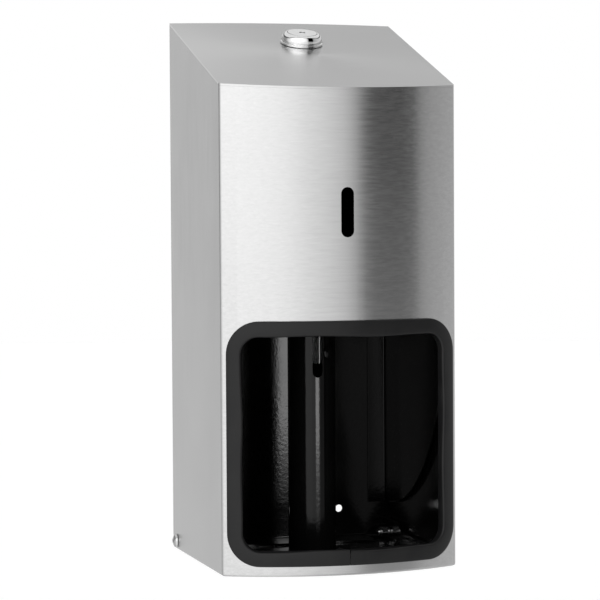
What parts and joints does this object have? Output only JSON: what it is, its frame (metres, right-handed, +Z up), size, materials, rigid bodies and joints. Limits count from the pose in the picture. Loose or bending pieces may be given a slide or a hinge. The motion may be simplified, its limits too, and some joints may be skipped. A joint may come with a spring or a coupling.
{
  "type": "toilet paper holder",
  "caption": "Lockable wall-mounted steel dispenser with a hinged bowed cover, trimmed opening, view slot and upright spindle with a sprung latch for a reserve roll.",
  "frame": {"origin": "centre of the back plate's rear face, midway between its four wall fixing holes", "axes": "+Y into the wall, -Y out of the bowed front, +Z up, +X to the right as seen from the front"},
  "size_m": [0.159, 0.1601, 0.3523],
  "materials": {
    "brushed_stainless": "fine directional brushing, satin",
    "chrome": "bright polished",
    "zinc_plated_steel": "bright zinc plating",
    "black_powder_coat": "gloss black powder coat with light orange peel",
    "black_rubber": "satin extruded rubber",
    "black_plastic": "moulded, satin",
    "white_nylon": "plain moulded"
  },
  "bodies": {
    "chassis": {"back_plate": "black_powder_coat", "shelf": "black_powder_coat", "left_cheek": "black_powder_coat", "right_cheek": "black_powder_coat", "lock_strike": "black_powder_coat", "spindle_post": "black_powder_coat", "post_foot": "black_powder_coat", "post_cap": "black_plastic", "latch_bracket": "zinc_plated_steel", "latch_rivet": "black_powder_coat", "latch_pin": "zinc_plated_steel", "latch_spring": "zinc_plated_steel", "left_hinge_screw": "zinc_plated_steel", "left_hinge_bush": "white_nylon", "left_hinge_washer": "zinc_plated_steel", "left_hinge_nut": "zinc_plated_steel", "right_hinge_screw": "zinc_plated_steel", "right_hinge_bush": "white_nylon", "right_hinge_washer": "zinc_plated_steel", "right_hinge_nut": "zinc_plated_steel"},
    "latch": {"roll_latch": "black_plastic"},
    "cover": {"cover_wrap": "brushed_stainless", "cover_top": "brushed_stainless", "opening_trim": "black_rubber", "lock_housing": "chrome", "lock_washer": "zinc_plated_steel", "lock_nut": "zinc_plated_steel"},
    "lock_barrel": {"lock_plug": "chrome", "lock_cam": "zinc_plated_steel", "cam_screw": "zinc_plated_steel"}
  },
  "joints": [
    {"name": "cover_hinge", "type": "hinge", "parent": "chassis", "child": "cover", "pos_m": [0, -0.012, -0.1649], "axis": [1, 0, 0], "range_deg": [0, 90]},
    {"name": "lock_turn", "type": "hinge", "parent": "cover", "child": "lock_barrel", "pos_m": [0, -0.05355, 0.16443], "axis": [0, 0.3037, -0.9528], "range_deg": [0, 90]},
    {"name": "latch_swing", "type": "hinge", "parent": "chassis", "child": "latch", "pos_m": [0, -0.0733, -0.019], "axis": [-1, 0, 0], "range_deg": [0, 28], "stiffness_Nm_per_rad": 0.03, "springref_deg": -17.19, "deforming": ["latch_spring"]}
  ]
}
